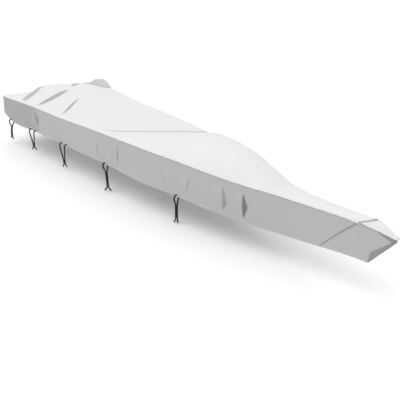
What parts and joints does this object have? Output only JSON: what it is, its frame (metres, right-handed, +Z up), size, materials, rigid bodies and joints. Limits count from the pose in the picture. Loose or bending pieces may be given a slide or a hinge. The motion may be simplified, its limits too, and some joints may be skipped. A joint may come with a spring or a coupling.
{
  "type": "boat cover",
  "caption": "Fitted fabric cover for a slim motor boat, with a peaked foredeck hump, a deep hanging skirt, a bound stem and black tie-downs along the hem.",
  "frame": {"origin": "the held point: the underside of the top cloth on the centreline, 2.0 m forward of the transom, where the boat carries it", "axes": "+X runs to the bow, +Z is up, so starboard is -Y"},
  "size_m": [5.0595, 1.4456, 0.828],
  "materials": {
    "top_cloth": "matt pale lilac-grey coated polyester",
    "skirt_cloth": "matt mid-grey coated polyester",
    "gusset_cloth": "matt light-grey coated polyester",
    "binding": "dark grey bound webbing",
    "eyelet_metal": "pale satin eyelet",
    "tie_cord": "black braided cord",
    "sleeve_plastic": "pale matt sleeve"
  },
  "bodies": {
    "root": {"bow_cap": "top_cloth", "bow_skirt_port": "skirt_cloth", "bow_skirt_starboard": "skirt_cloth", "bow_trim_port": "binding", "bow_trim_starboard": "binding", "eyelet_port_1a": "eyelet_metal", "eyelet_port_2a": "eyelet_metal", "eyelet_port_2b": "eyelet_metal", "eyelet_port_3a": "eyelet_metal", "eyelet_port_3b": "eyelet_metal", "eyelet_port_4a": "eyelet_metal", "eyelet_port_5a": "eyelet_metal", "eyelet_starboard_1a": "eyelet_metal", "eyelet_starboard_2a": "eyelet_metal", "eyelet_starboard_2b": "eyelet_metal", "eyelet_starboard_3a": "eyelet_metal", "eyelet_starboard_3b": "eyelet_metal", "eyelet_starboard_4a": "eyelet_metal", "eyelet_starboard_5a": "eyelet_metal", "quarter_gusset": "gusset_cloth", "skirt_port": "skirt_cloth", "skirt_starboard": "skirt_cloth", "skirt_transom": "skirt_cloth", "sleeve_port_1": "sleeve_plastic", "sleeve_port_2": "sleeve_plastic", "sleeve_port_3": "sleeve_plastic", "sleeve_port_4": "sleeve_plastic", "sleeve_port_5": "sleeve_plastic", "sleeve_starboard_1": "sleeve_plastic", "sleeve_starboard_2": "sleeve_plastic", "sleeve_starboard_3": "sleeve_plastic", "sleeve_starboard_4": "sleeve_plastic", "sleeve_starboard_5": "sleeve_plastic", "stem_binding": "binding", "tie_port_1a": "tie_cord", "tie_port_1b": "tie_cord", "tie_port_2a": "tie_cord", "tie_port_2b": "tie_cord", "tie_port_3a": "tie_cord", "tie_port_3b": "tie_cord", "tie_port_4a": "tie_cord", "tie_port_4b": "tie_cord", "tie_port_5a": "tie_cord", "tie_port_5b": "tie_cord", "tie_starboard_1a": "tie_cord", "tie_starboard_1b": "tie_cord", "tie_starboard_2a": "tie_cord", "tie_starboard_2b": "tie_cord", "tie_starboard_3a": "tie_cord", "tie_starboard_3b": "tie_cord", "tie_starboard_4a": "tie_cord", "tie_starboard_4b": "tie_cord", "tie_starboard_5a": "tie_cord", "tie_starboard_5b": "tie_cord", "top_panel": "top_cloth"}
  },
  "joints": []
}
